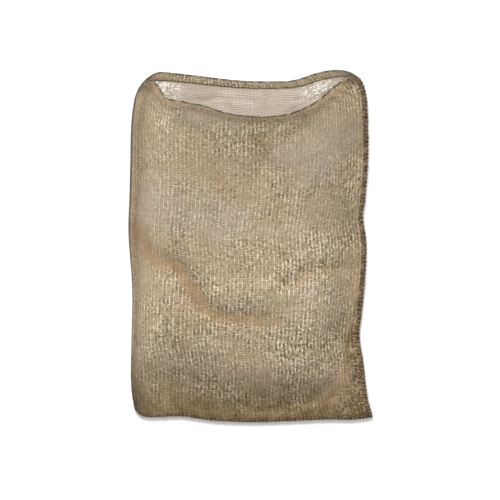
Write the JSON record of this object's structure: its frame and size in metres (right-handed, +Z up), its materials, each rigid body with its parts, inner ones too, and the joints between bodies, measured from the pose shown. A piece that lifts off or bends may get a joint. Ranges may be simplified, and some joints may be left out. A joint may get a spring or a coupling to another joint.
{
  "type": "sack race bag",
  "caption": "Open-mouthed hessian sack for sack racing, lying on its back, folded on one side and overcast with jute twine on the other side and the bottom.",
  "frame": {"origin": "on the ground under the middle of the sack's box as it lies on its back", "axes": "+X towards the sewn side, +Y towards the mouth, +Z up from the ground"},
  "size_m": [0.6119, 0.8837, 0.1008],
  "materials": {
    "hessian": "coarse open plain weave of natural jute, dull",
    "jute_twine": "hairy two-ply brown jute twine, dull",
    "hem_thread": "fine jute sewing thread, dull"
  },
  "bodies": {
    "root": {"front_panel": "hessian", "back_panel": "hessian", "mouth_hem": "hessian", "side_seam_twine": "jute_twine", "bottom_seam_twine": "jute_twine", "hem_needle_thread": "hem_thread", "hem_looper_thread": "hem_thread"}
  },
  "joints": []
}
